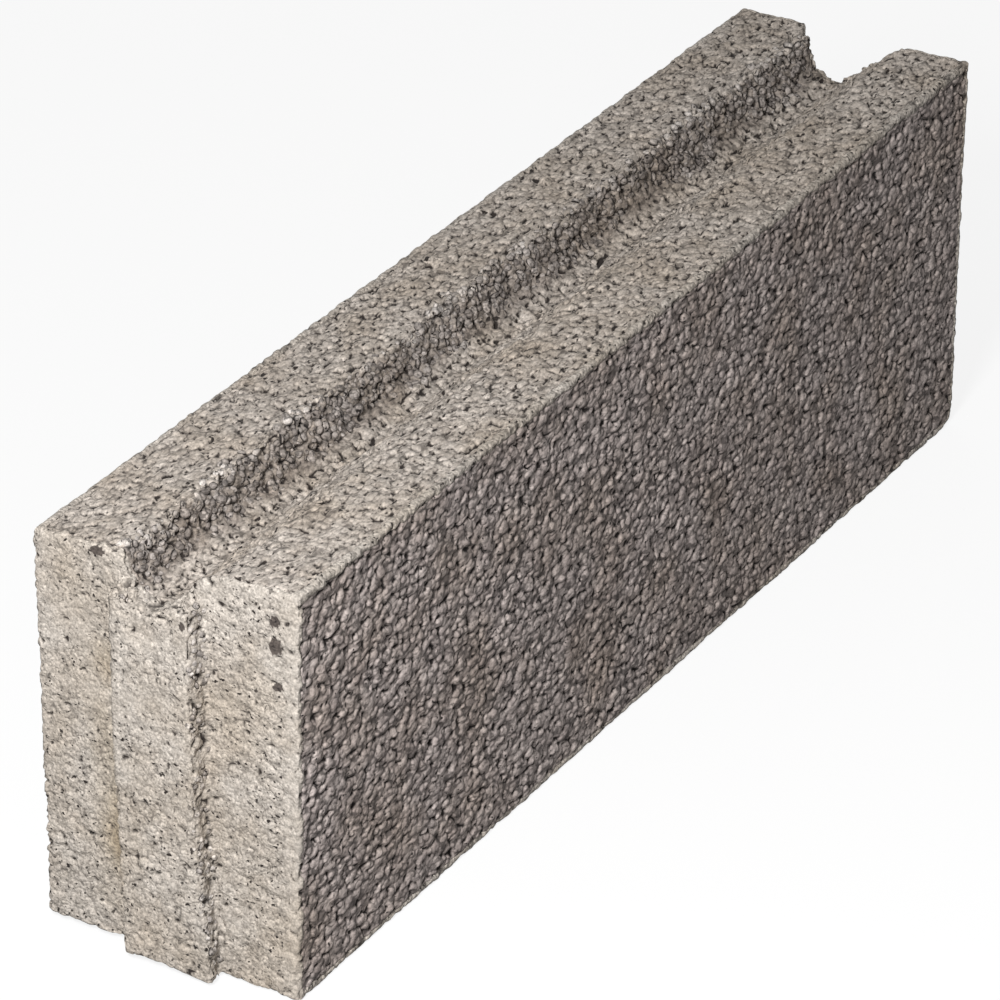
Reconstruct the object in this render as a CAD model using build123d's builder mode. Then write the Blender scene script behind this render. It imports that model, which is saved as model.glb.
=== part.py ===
"""Lightweight-aggregate concrete block, cast in one piece.

One end has an upright tongue, the other end the upright groove that takes the tongue of the
next block, and a mortar groove is pressed along the bed face on top.

Frame: millimetres, +X along the block towards the grooved end, +Z up. The origin is the middle
of the bottom bed face, between the two end shoulders and between the two long faces.
"""

import os

from build123d import *

# Block body, between its end shoulders and between its long faces
block_length = 590.0
block_thickness = 120.0
block_height = 190.0
arris_radius = 2.0

# Tongue on the -X end: it is a little wider at its root and stops short of the top
tongue_width = 40.0
tongue_depth = 10.0
tongue_draft = 1.0
tongue_drop = 14.0
tongue_radius = 2.5

# Groove in the +X end: as deep and as wide as the tongue and a clearance, with a flared mouth
fit_clearance = 2.0
mouth_flare = 3.5

# Mortar groove in the top: a steep wall on the +Y side, and a long slope on the -Y side
groove_depth = 21.0
steep_reach = 19.5
slope_reach = 24.0
steep_lip_radius = 3.0
slope_lip_radius = 8.0
groove_bed_radius = 6.0

# Where the foot of the steep wall and the lowest line of the mortar groove lie
foot_reach_share = 0.66
foot_depth_share = 0.74
lowest_reach_share = 0.1

# How far a cut runs past the body, and how far the tongue is rooted in it
overrun = 5.0

half_length = block_length / 2

end_groove_floor_x = half_length - tongue_depth - fit_clearance
end_groove_half_floor = tongue_width / 2 + fit_clearance
end_groove_half_mouth = end_groove_half_floor + tongue_draft + mouth_flare

tongue_front_x = -half_length - tongue_depth
tongue_half_front = tongue_width / 2
tongue_half_root = tongue_half_front + tongue_draft

groove_foot = (steep_reach * foot_reach_share, block_height - groove_depth * foot_depth_share)
groove_lowest = (steep_reach * lowest_reach_share, block_height - groove_depth)

with BuildPart() as block:
    # Body, drawn in plan with the end groove in its +X side
    with BuildSketch() as plan:
        Rectangle(block_length, block_thickness)
        with BuildLine():
            Polyline(
                (half_length, end_groove_half_mouth),
                (end_groove_floor_x, end_groove_half_floor),
                (end_groove_floor_x, -end_groove_half_floor),
                (half_length, -end_groove_half_mouth),
                close=True,
            )
        make_face(mode=Mode.SUBTRACT)
        corner_rows = plan.vertices().group_by(Axis.Y)
        fillet(corner_rows[0] + corner_rows[1] + corner_rows[-2] + corner_rows[-1], arris_radius)
    extrude(amount=block_height)
    flat_faces = block.faces().filter_by(Axis.Z).sort_by(Axis.Z)
    fillet(flat_faces[0].edges() + flat_faces[-1].edges(), arris_radius)

    # Tongue, rooted in the -X shoulder
    with BuildSketch() as tongue_plan:
        with BuildLine():
            Polyline(
                (-half_length + overrun, tongue_half_root),
                (-half_length, tongue_half_root),
                (tongue_front_x, tongue_half_front),
                (tongue_front_x, -tongue_half_front),
                (-half_length, -tongue_half_root),
                (-half_length + overrun, -tongue_half_root),
                close=True,
            )
        make_face()
        fillet(tongue_plan.vertices().group_by(Axis.X)[0], tongue_radius)
    extrude(amount=block_height - tongue_drop)
    tongue_top = block.faces().filter_by(Axis.Z).sort_by(Axis.Z)[-2]
    fillet(tongue_top.edges().sort_by(Axis.X)[:-1], tongue_radius)

    # Mortar groove, pressed into the top from end to end
    with BuildSketch(Plane.YZ) as groove_section:
        with BuildLine():
            pressed = FilletPolyline(
                (steep_reach + steep_lip_radius, block_height),
                (steep_reach, block_height),
                groove_foot,
                groove_lowest,
                (-slope_reach, block_height),
                (-slope_reach - slope_lip_radius, block_height),
                radius=[steep_lip_radius, groove_bed_radius, groove_bed_radius, slope_lip_radius],
            )
            Polyline(
                pressed @ 1,
                (-slope_reach - slope_lip_radius, block_height + overrun),
                (steep_reach + steep_lip_radius, block_height + overrun),
                pressed @ 0,
            )
        make_face()
    extrude(amount=half_length + tongue_depth + overrun, both=True, mode=Mode.SUBTRACT)

block.part.label = "block"

os.makedirs("parts", exist_ok=True)
export_step(block.part, "parts/block.step")
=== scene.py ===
"""Lightweight-aggregate concrete block: its looks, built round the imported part.

The block is one casting. A closed skin, taken from the part's own solid and worn as the real block
is, shows at the ends and along the arrises. Over its long faces and its top lie closed sheets that
follow the solid's own section and carry the finer relief of granules under cement paste. Loose
granules are strewn over the mortar groove's lip, slope and mouth and over the tongue's flank.
Everything is in metres in the part's frame: +X towards the grooved end, +Z up.
"""

import logging
import math
from dataclasses import dataclass
from enum import Enum
from functools import partial

import bmesh
import bpy
import numpy as np
from mathutils import Matrix, Vector, kdtree, noise
from mathutils.bvhtree import BVHTree


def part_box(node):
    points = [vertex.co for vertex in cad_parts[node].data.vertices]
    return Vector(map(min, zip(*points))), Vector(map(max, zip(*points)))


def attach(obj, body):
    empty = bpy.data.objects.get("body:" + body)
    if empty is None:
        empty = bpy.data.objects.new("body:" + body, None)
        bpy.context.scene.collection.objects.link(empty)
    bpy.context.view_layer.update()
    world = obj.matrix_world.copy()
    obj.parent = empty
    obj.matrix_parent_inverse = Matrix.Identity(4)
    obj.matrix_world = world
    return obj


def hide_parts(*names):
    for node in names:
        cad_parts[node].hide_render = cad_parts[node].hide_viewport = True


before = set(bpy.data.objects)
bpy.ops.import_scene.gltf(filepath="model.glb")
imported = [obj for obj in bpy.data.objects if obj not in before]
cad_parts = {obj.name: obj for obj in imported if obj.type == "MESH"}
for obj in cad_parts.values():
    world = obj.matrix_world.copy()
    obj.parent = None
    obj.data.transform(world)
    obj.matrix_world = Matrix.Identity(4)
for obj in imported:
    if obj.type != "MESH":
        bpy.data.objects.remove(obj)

LOG = logging.getLogger("concrete_block")
MM = 0.001
BODY = "root"
NODE = "block"
OUTSIDE_MM = 400.0

Pair = tuple[float, float]
Triple = tuple[float, float, float]


class Side(Enum):
    """The faces that have a sheet of their own."""

    FRONT = "front"
    BACK = "back"
    TOP = "top"


class Zone(Enum):
    """Where loose granules lie. The value names the attribute that holds each point's share in it."""

    LIP = "lip"
    SLOPE = "slope"
    FLANK = "flank"
    MOUTH = "mouth"


def linear(hex_colour: str) -> tuple[float, float, float, float]:
    """Turns an sRGB hex colour into linear RGBA.

    Args:
        hex_colour: Six hex digits after a hash sign.

    Returns:
        The linear colour with an alpha of 1.
    """
    channels = [int(hex_colour[i : i + 2], 16) / 255 for i in (1, 3, 5)]
    lit = [c / 12.92 if c <= 0.04045 else ((c + 0.055) / 1.055) ** 2.4 for c in channels]
    return (lit[0], lit[1], lit[2], 1.0)


def per_metre(size_mm: float) -> float:
    """Gives the texture scale at which one repeat is size_mm long."""
    return 1.0 / (size_mm * MM)


def add_node(
    tree: bpy.types.NodeTree, kind: str, inputs: dict | None = None, **settings: object
) -> bpy.types.Node:
    """Adds a node, sets it and fills its inputs.

    Args:
        tree: The tree that takes the node.
        kind: The node's Blender type name.
        inputs: For a socket's name or number, its value or the output that feeds it.
        settings: The node's own properties.

    Returns:
        The new node.
    """
    node = tree.nodes.new(kind)
    for name, value in settings.items():
        setattr(node, name, value)
    for key, value in (inputs or {}).items():
        if isinstance(value, bpy.types.NodeSocket):
            tree.links.new(value, node.inputs[key])
        else:
            node.inputs[key].default_value = value
    return node


def ramp(values: np.ndarray, low: float, high: float) -> np.ndarray:
    """Rises smoothly from 0 at low to 1 at high.

    Args:
        values: What is measured.
        low: Where the result leaves 0.
        high: Where the result reaches 1.

    Returns:
        The smooth step of each value.
    """
    share = np.clip((values - low) / (high - low), 0.0, 1.0)
    return share * share * (3.0 - 2.0 * share)


def noise_at(places: np.ndarray, size_mm: float, seed: float) -> np.ndarray:
    """Gives smooth noise about 0 at each place.

    Args:
        places: Points in millimetres.
        size_mm: The size of the noise's lumps.
        seed: Shifts the pattern.

    Returns:
        One value from about -1 to 1 for each point.
    """
    shift = Vector((seed, -seed, 0.37 * seed))
    return np.array([noise.noise(Vector(p) / size_mm + shift) for p in places])


def show(name: str, mesh: bpy.types.Mesh) -> bpy.types.Object:
    """Links a new object with this mesh to the scene and returns it.

    Args:
        name: The object's name.
        mesh: Its mesh.

    Returns:
        The new object.
    """
    piece = bpy.data.objects.new(name, mesh)
    bpy.context.scene.collection.objects.link(piece)
    return piece


def plain_mesh(source: bpy.types.Object) -> bpy.types.Mesh:
    """Gives the object's mesh with its modifiers worked in, as a mesh of its own."""
    graph = bpy.context.evaluated_depsgraph_get()
    return bpy.data.meshes.new_from_object(
        source.evaluated_get(graph), preserve_all_data_layers=True, depsgraph=graph
    )


def rows_of(items: bpy.types.bpy_prop_collection, name: str) -> np.ndarray:
    """Reads one vector of each item into an array of rows of three.

    Args:
        items: A mesh's vertices, or the like.
        name: The vector's property name.

    Returns:
        One row for each item.
    """
    found = np.empty(len(items) * 3, np.float32)
    items.foreach_get(name, found)
    return found.reshape(-1, 3).astype(float)


def lots(columns: np.ndarray, rows: np.ndarray, seed: int, count: int) -> list[np.ndarray]:
    """Draws random numbers for the cells of a flat pattern, always the same for the same cell.

    Args:
        columns: Each cell's column.
        rows: Each cell's row.
        seed: Changes the whole draw.
        count: How many numbers each cell gets.

    Returns:
        Count arrays of numbers from 0 to 1.
    """
    base = (columns * 73856093) ^ (rows * 19349663) ^ (seed * 83492791)
    drawn = []
    for number in range(count):
        mixed = (base + number * 2654435761) & 0xFFFFFFFF
        mixed = (((mixed >> 16) ^ mixed) * 0x45D9F3B) & 0xFFFFFFFF
        mixed = (((mixed >> 16) ^ mixed) * 0x45D9F3B) & 0xFFFFFFFF
        drawn.append(((mixed >> 16) ^ mixed) / 4294967295.0)
    return drawn


def flat_noise(u: np.ndarray, v: np.ndarray, size_mm: float, seed: int) -> np.ndarray:
    """Gives smooth noise from -1 to 1 over a flat pattern.

    Args:
        u: Places along the pattern in millimetres.
        v: Places across the pattern in millimetres.
        size_mm: The size of the noise's lumps.
        seed: Changes the pattern.

    Returns:
        One value for each place.
    """
    columns = np.floor(u / size_mm).astype(np.int64)
    rows = np.floor(v / size_mm).astype(np.int64)
    along = ramp(u / size_mm - columns, 0.0, 1.0)
    across = ramp(v / size_mm - rows, 0.0, 1.0)
    edges = []
    for row in (rows, rows + 1):
        left = lots(columns, row, seed, 1)[0]
        right = lots(columns + 1, row, seed, 1)[0]
        edges.append(left + along * (right - left))
    return 2.0 * (edges[0] + across * (edges[1] - edges[0])) - 1.0


def blurred(grid: np.ndarray, cells: int) -> np.ndarray:
    """Averages a grid over a square of cells to each side of every point.

    Args:
        grid: Values by row and column.
        cells: How many cells the square reaches to each side.

    Returns:
        The averages by row and column.
    """
    size = 2 * cells + 1
    for axis in (0, 1):
        pad = [(0, 0), (0, 0)]
        pad[axis] = (cells + 1, cells)
        total = np.cumsum(np.pad(grid, pad, mode="edge"), axis=axis)
        count = grid.shape[axis]
        upper = np.take(total, np.arange(size, size + count), axis=axis)
        lower = np.take(total, np.arange(count), axis=axis)
        grid = (upper - lower) / size
    return grid


def keep(mesh: bpy.types.Mesh, kept: dict[str, np.ndarray]) -> None:
    """Stores each array under its name, one number for each point, for materials and granules.

    Args:
        mesh: The mesh that keeps them.
        kept: The arrays by name.
    """
    for name, values in kept.items():
        layer = mesh.attributes.get(name) or mesh.attributes.new(name, "FLOAT", "POINT")
        layer.data.foreach_set("value", values.astype(np.float32))


@dataclass(frozen=True)
class ConcreteFinish:
    """Dry lightweight concrete: cement over clay granules, quite matt, with painted shade in its pores,
    seams, pits and crevices.
    """

    name: str
    light: str
    dark: str
    # Painted shade: the near-black colour that seams, pits and crevices are darkened to
    pore_shade: str
    warm: str = "#dccfbb"
    stain: str = "#e4dbc9"
    stone: str = "#4f4742"
    # Darkens the steep wall: partly the grey of unpressed granules, partly painted shade
    raw: str = "#d4d1d0"
    roughness: float = 0.94
    patch_mm: float = 34.0
    patch_depth: float = 0.45
    grain_mm: Triple = (1.1, 1.1, 1.1)
    grain_depth: float = 0.36
    grain_rise_mm: float = 0.35
    crumb_mm: Triple = (2.1, 2.1, 2.1)
    crumb_bend: float = 0.9
    crumb_depth: float = 0.2
    crumb_rise_mm: float = 0.9
    seam_from: float = 0.56
    seam_width: float = 0.18
    seam_depth: float = 0.85
    pit_mm: Triple = (2.2, 2.2, 2.2)
    pit_from: float = 0.65
    pit_width: float = 0.07
    pit_rise_mm: float = 0.6
    streak_mm: Triple = (2.4, 2.4, 26.0)
    streak_depth: float = 0.0
    pasted_bump: float = 0.35

    def material(self) -> bpy.types.Material:
        """Builds the material: a tone for each granule, crumbs and sandy grain, open pits, and painted
        shade in the hollows.

        Returns:
            The new material.
        """
        made = bpy.data.materials.new(self.name)
        made.use_nodes = True
        made.node_tree.nodes.clear()
        add = partial(add_node, made.node_tree)
        place = add("ShaderNodeTexCoord").outputs["Object"]
        tone, cavity, stain, stone, paste, raw = (
            add("ShaderNodeAttribute", attribute_name=name).outputs["Fac"]
            for name in ("tone", "cavity", "stain", "stone", "paste", "raw")
        )
        bare = add("ShaderNodeMath", {0: 1.0, 1: paste}, operation="SUBTRACT").outputs[0]

        # Patterns, each laid at its own size
        laid_mm = (self.grain_mm, self.streak_mm, self.pit_mm)
        scales = [[per_metre(size) for size in sizes] for sizes in laid_mm]
        grain_at, streak_at, pit_at = (
            add("ShaderNodeMapping", {"Vector": place, "Scale": scale}).outputs[0] for scale in scales
        )
        bend_scale = per_metre(2.0 * self.crumb_mm[0])
        patch, bend, grain, streak, pits = (
            add("ShaderNodeTexNoise", {"Vector": at, "Scale": scale, "Detail": fine, "Roughness": rough})
            for at, scale, fine, rough in (
                (place, per_metre(self.patch_mm), 3.0, 0.5),
                (place, bend_scale, 1.0, 0.5),
                (grain_at, 1.0, 2.0, 0.6),
                (streak_at, 1.0, 2.0, 0.5),
                (pit_at, 1.0, 1.0, 0.5),
            )
        )
        centred = {0: bend.outputs["Color"], 1: (0.5, 0.5, 0.5)}
        aside = add("ShaderNodeVectorMath", centred, operation="SUBTRACT").outputs[0]
        reach = [self.crumb_bend * size * MM for size in self.crumb_mm]
        bent = add("ShaderNodeVectorMath", {0: aside, 1: reach, 2: place}, operation="MULTIPLY_ADD")
        crumb_scale = [per_metre(size) for size in self.crumb_mm]
        laid = add("ShaderNodeMapping", {"Vector": bent.outputs[0], "Scale": crumb_scale})
        crumbs = add("ShaderNodeTexVoronoi", {"Vector": laid.outputs[0], "Scale": 1.0})
        apart = crumbs.outputs["Distance"]
        own = add("ShaderNodeSeparateColor", {0: crumbs.outputs["Color"]}).outputs[0]

        # What each pattern gives: a share or a factor
        warmth, speck, smear, crumb_tone, seam_shade, pit, crevice_shade, edge, strength = (
            add("ShaderNodeMapRange", {"Value": value, 1: low, 2: high, 3: least, 4: most}).outputs[0]
            for value, low, high, least, most in (
                (patch.outputs["Fac"], 0.42, 0.72, 0.0, self.patch_depth),
                (grain.outputs["Fac"], 0.3, 0.7, 1.0 - self.grain_depth, 1.0 + self.grain_depth),
                (streak.outputs["Fac"], 0.3, 0.7, 1.0 - self.streak_depth, 1.0 + self.streak_depth),
                (own, 0.0, 1.0, 1.0 - self.crumb_depth, 1.0 + self.crumb_depth),
                (apart, self.seam_from, self.seam_from + self.seam_width, 0.0, self.seam_depth),
                (pits.outputs["Fac"], self.pit_from, self.pit_from + self.pit_width, 0.0, 1.0),
                (cavity, 0.2, 0.75, 0.0, 1.0),
                (stone, 0.42, 0.58, 0.0, 1.0),
                (bare, 0.0, 1.0, self.pasted_bump, 1.0),
            )
        )
        # Painted shade: seams and pits where no paste fills them, and crevices of the relief, share one
        # darkening
        hollow = add("ShaderNodeMath", {0: seam_shade, 1: pit}, operation="MAXIMUM").outputs[0]
        open_pore_shade = add("ShaderNodeMath", {0: hollow, 1: bare}, operation="MULTIPLY").outputs[0]
        dark = add("ShaderNodeMath", {0: open_pore_shade, 1: crevice_shade}, operation="MAXIMUM").outputs[0]
        worked = add("ShaderNodeMath", {0: speck, 1: smear}, operation="MULTIPLY").outputs[0]
        varied = add("ShaderNodeMath", {0: worked, 1: crumb_tone}, operation="MULTIPLY").outputs[0]

        # Colour, from the granule outwards to its pores, where shade is painted in
        colour = linear(self.dark)
        for share, other, blend in (
            (tone, linear(self.light), "MIX"),
            (warmth, linear(self.warm), "MULTIPLY"),
            (stain, linear(self.stain), "MULTIPLY"),
            # Partly painted shade: the steep wall is darkened
            (raw, linear(self.raw), "MULTIPLY"),
            (edge, linear(self.stone), "MIX"),
            (1.0, varied, "MULTIPLY"),
            # Painted shade in the hollows, mixed in last
            (dark, linear(self.pore_shade), "MIX"),
        ):
            mixed = {0: share, 6: colour, 7: other}
            colour = add("ShaderNodeMix", mixed, data_type="RGBA", blend_type=blend).outputs[2]

        # Height, from the sand, the pits and the crumbs
        height = 0.0
        for value, rise_mm in (
            (grain.outputs["Fac"], self.grain_rise_mm),
            (pit, -self.pit_rise_mm),
            (apart, -self.crumb_rise_mm),
        ):
            raised = {0: value, 1: rise_mm, 2: height}
            height = add("ShaderNodeMath", raised, operation="MULTIPLY_ADD").outputs[0]
        bump = add("ShaderNodeBump", {"Height": height, "Distance": MM, "Strength": strength})
        surface = {"Base Color": colour, "Normal": bump.outputs[0], "Roughness": self.roughness}
        shader = add("ShaderNodeBsdfPrincipled", surface)
        add("ShaderNodeOutputMaterial", {"Surface": shader.outputs[0]})
        return made


# The ends were pressed smooth, so their paste is pale and nearly whole, with small pits whose shade is
# painted dark
END_FINISH = ConcreteFinish(
    "concrete_pressed_end",
    "#b7afa6",
    "#a39b92",
    "#261f1b",
    crumb_mm=(1.9, 1.9, 1.8),
    crumb_depth=0.1,
    crumb_rise_mm=0.6,
    seam_from=0.64,
    seam_depth=0.45,
    pit_mm=(2.3, 2.3, 1.9),
)
# The bed was struck off along the block, so its grain and pits are drawn out that way
TOP_FINISH = ConcreteFinish(
    "concrete_pressed_bed",
    "#b6ada4",
    "#9d948b",
    "#261f1b",
    grain_mm=(2.0, 1.2, 1.1),
    crumb_mm=(3.2, 2.0, 1.8),
    crumb_depth=0.14,
    crumb_rise_mm=0.7,
    seam_from=0.62,
    seam_depth=0.6,
    pit_mm=(4.2, 2.4, 2.4),
    pit_from=0.66,
)
# The mould drew up along the long faces, which leaves them mauve-grey with faint upright smears
MOULD_FINISH = ConcreteFinish(
    "concrete_mould_face",
    "#b0a5a0",
    "#968b87",
    "#201a18",
    grain_mm=(1.9, 1.1, 1.1),
    grain_depth=0.3,
    crumb_mm=(3.4, 2.6, 2.4),
    crumb_depth=0.1,
    crumb_rise_mm=0.6,
    seam_depth=0.7,
    pit_from=0.7,
    streak_depth=0.12,
)
# Granules that no paste covers differ more from each other; shade is painted darkest at their feet
RAW_FINISH = ConcreteFinish(
    "concrete_raw_granules",
    "#c0b9b3",
    "#8a837e",
    "#1d1714",
    grain_mm=(1.6, 1.1, 1.1),
    crumb_mm=(2.2, 1.6, 1.6),
    crumb_rise_mm=0.4,
    seam_depth=0.6,
)


@dataclass(frozen=True)
class Band:
    """A share that rises from 0 to 1 between two places, holds, and falls between two others."""

    rise_mm: Pair
    fall_mm: Pair

    def at(self, values: np.ndarray) -> np.ndarray:
        """Gives the share at each value, from 0 to 1."""
        return ramp(values, *self.rise_mm) * (1.0 - ramp(values, *self.fall_mm))


@dataclass(frozen=True)
class Patches:
    """Uneven patches in the casting: noise of one size about a level, cut off at 0 and at most."""

    size_mm: float
    seed: float
    level: float
    gain: float
    most: float = 1.0

    def at(self, places: np.ndarray, more: np.ndarray | float = 0.0) -> np.ndarray:
        """Gives each point's share in the patches. More raises their level."""
        level = more + self.level
        return np.clip(level + self.gain * noise_at(places, self.size_mm, self.seed), 0.0, self.most)


@dataclass(frozen=True)
class Stray:
    """How far something wanders over a flat pattern, smoothly and to both sides."""

    reach_mm: float
    size_mm: float
    seed: int

    def at(self, u: np.ndarray, v: np.ndarray) -> np.ndarray:
        """Gives how far it wanders at each place, in millimetres."""
        return self.reach_mm * flat_noise(u, v, self.size_mm, self.seed)


@dataclass(frozen=True)
class PoreShade:
    """How much shade is painted into a hollow by its depth: from where it starts to where it is darkest.
    """

    from_mm: float
    most: float
    full_share: float

    def at(self, height: np.ndarray, pore_mm: np.ndarray | float) -> np.ndarray:
        """Gives the share of painted shade at each height of the relief, from 0 to most."""
        return self.most * ramp((-self.from_mm - height) / pore_mm, 0.0, self.full_share)


@dataclass(frozen=True)
class WornSpot:
    """A place where the casting is chipped, worn or bulged: what lies within reach is shifted."""

    centre_mm: Triple
    reach_mm: Triple
    shift_mm: Triple

    def moves(self, places: np.ndarray) -> np.ndarray:
        """Gives how far each point moves, in millimetres.

        Args:
            places: Points of the clean solid in millimetres.

        Returns:
            One row for each point.
        """
        apart = (places - np.array(self.centre_mm)) / np.array(self.reach_mm)
        weight = 1.0 - ramp(np.linalg.norm(apart, axis=1), 0.0, 1.0)
        return weight[:, None] * np.array(self.shift_mm)


@dataclass(frozen=True)
class OutOfSquare:
    """How far the corners at the tongue end lie from a true box. The edges stay straight."""

    half_length_mm: float = 295.0
    thickness_mm: float = 120.0
    height_mm: float = 190.0
    upper_back_mm: Triple = (0.0, 5.5, -4.6)
    lower_back_mm: Triple = (0.0, 3.2, 4.0)
    upper_front_mm: Triple = (0.0, -1.8, 0.2)

    def moves(self, places: np.ndarray) -> np.ndarray:
        """Gives how far each point moves, in millimetres.

        Args:
            places: Points of the clean solid in millimetres.

        Returns:
            One row for each point.
        """
        near = 0.5 - 0.5 * places[:, 0] / self.half_length_mm
        back = np.clip(places[:, 1] / self.thickness_mm + 0.5, 0.0, 1.0)
        up = np.clip(places[:, 2] / self.height_mm, 0.0, 1.0)
        return (
            (near * back * up)[:, None] * np.array(self.upper_back_mm)
            + (near * back * (1.0 - up))[:, None] * np.array(self.lower_back_mm)
            + (near * (1.0 - back) * up)[:, None] * np.array(self.upper_front_mm)
        )


@dataclass(frozen=True)
class DarkStone:
    """A dark stone that lies flush in the paste."""

    centre_mm: Triple
    reach_mm: Pair
    depth_mm: float = 3.0
    ragged: float = 0.25

    def share(self, places: np.ndarray) -> np.ndarray:
        """Tells how far inside the stone each point lies: 0.5 at its edge, 0 well outside it.

        Args:
            places: Points of the clean solid in millimetres.

        Returns:
            One share for each point.
        """
        apart = (places - np.array(self.centre_mm)) / np.array([self.depth_mm, *self.reach_mm])
        notch = self.ragged * np.sin(7.0 * apart[:, 1] + 4.0 * apart[:, 2])
        return np.clip(1.5 - (np.linalg.norm(apart, axis=1) + notch), 0.0, 1.0)


@dataclass(frozen=True)
class Relief:
    """Granules side by side under a film of paste: domes of uneven outline, with pores between."""

    granule_mm: float
    radius_shares: Pair
    crown_mm: float
    lift_mm: Pair
    floor_mm: float
    seed: int
    stretch: float = 1.0
    warp_share: float = 0.2
    warp_size_share: float = 0.8
    soft_mm: float = 0.12
    stray_share: float = 0.8
    blunt: float = 1.6

    def heights(self, u: np.ndarray, v: np.ndarray) -> tuple[np.ndarray, np.ndarray]:
        """Works out the relief.

        Args:
            u: Places along the face in millimetres.
            v: Places across the face in millimetres.

        Returns:
            Each place's height in millimetres, and its granule's tone from 0 to 1.
        """
        warp = self.warp_share * self.granule_mm
        wave = self.warp_size_share * self.granule_mm
        across = u + warp * flat_noise(u, v, wave, self.seed + 1)
        along = (v + warp * flat_noise(u, v, wave, self.seed + 2)) / self.stretch
        columns = np.floor(across / self.granule_mm).astype(np.int64)
        rows = np.floor(along / self.granule_mm).astype(np.int64)
        total = np.full(u.shape, math.exp(self.floor_mm / self.soft_mm))
        best = np.full(u.shape, self.floor_mm)
        tone = np.full(u.shape, 0.5)
        least, most = self.radius_shares
        low, high = self.lift_mm
        for column, row in ((columns + i, rows + j) for i in (-1, 0, 1) for j in (-1, 0, 1)):
            aside, ahead, size, lift, shade = lots(column, row, self.seed, 5)
            centre_u = (column + 0.5 + self.stray_share * (aside - 0.5)) * self.granule_mm
            centre_v = (row + 0.5 + self.stray_share * (ahead - 0.5)) * self.granule_mm
            reach = self.granule_mm * (least + (most - least) * size)
            apart = ((across - centre_u) ** 2 + (along - centre_v) ** 2) / reach**2
            swell = np.sqrt(np.clip(1.0 - apart**self.blunt, 0.0, 1.0)) - 1.0
            dome = low + (high - low) * lift + self.crown_mm * swell
            inside = apart < 1.0
            total += inside * np.exp(dome / self.soft_mm)
            higher = inside & (dome > best)
            best = np.where(higher, dome, best)
            tone = np.where(higher, shade, tone)
        return self.soft_mm * np.log(total), tone


@dataclass(frozen=True)
class Coat:
    """The relief of one part of a face: large granules, smaller ones between them, their pores."""

    large: Relief
    small: Relief
    pore_mm: float

    def heights(self, u: np.ndarray, v: np.ndarray) -> tuple[np.ndarray, np.ndarray]:
        """Gives the higher of the two at each place, with its tone.

        Args:
            u: Places along the face in millimetres.
            v: Places across the face in millimetres.

        Returns:
            Each place's height in millimetres, and its granule's tone from 0 to 1.
        """
        height, tone = self.large.heights(u, v)
        fill, fill_tone = self.small.heights(u, v)
        return np.maximum(height, fill), np.where(fill > height, fill_tone, tone)


MOULD_FACE = Coat(
    Relief(5.6, (0.46, 0.76), 2.1, (-1.3, 0.4), -2.6, 11, 0.7, warp_share=0.26),
    Relief(3.6, (0.48, 0.72), 1.5, (-1.7, -0.2), -2.6, 12, 0.7, warp_share=0.26),
    1.4,
)
PRESSED_BED = Coat(
    Relief(5.6, (0.48, 0.76), 2.1, (-1.3, 0.4), -2.6, 13, 0.66, warp_share=0.26),
    Relief(3.6, (0.5, 0.76), 1.5, (-1.6, -0.2), -2.6, 14, 0.7, warp_share=0.26),
    1.4,
)
GROOVE_LIP = Coat(
    Relief(5.6, (0.4, 0.66), 2.6, (-2.0, 1.1), -3.8, 17, 0.72, warp_share=0.24),
    Relief(3.6, (0.44, 0.68), 1.7, (-2.6, 0.0), -3.8, 18, 0.75, warp_share=0.24),
    1.5,
)
MOULD_END = Coat(
    Relief(4.6, (0.5, 0.76), 1.3, (-0.6, 0.3), -1.7, 19, 0.85, warp_share=0.24),
    Relief(2.9, (0.52, 0.76), 1.0, (-0.85, 0.0), -1.7, 20, 0.85, warp_share=0.24),
    0.9,
)
CRUMBLED = Coat(
    Relief(4.6, (0.46, 0.72), 2.0, (-1.5, 0.6), -2.6, 21),
    Relief(2.9, (0.46, 0.72), 1.2, (-1.6, 0.1), -2.6, 22),
    1.4,
)


def tamed(apart: np.ndarray) -> np.ndarray:
    """Tells how much of the relief is left at each distance in millimetres from an arris."""
    return 0.35 + 0.65 * ramp(apart, 1.5, 6.0)


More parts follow.
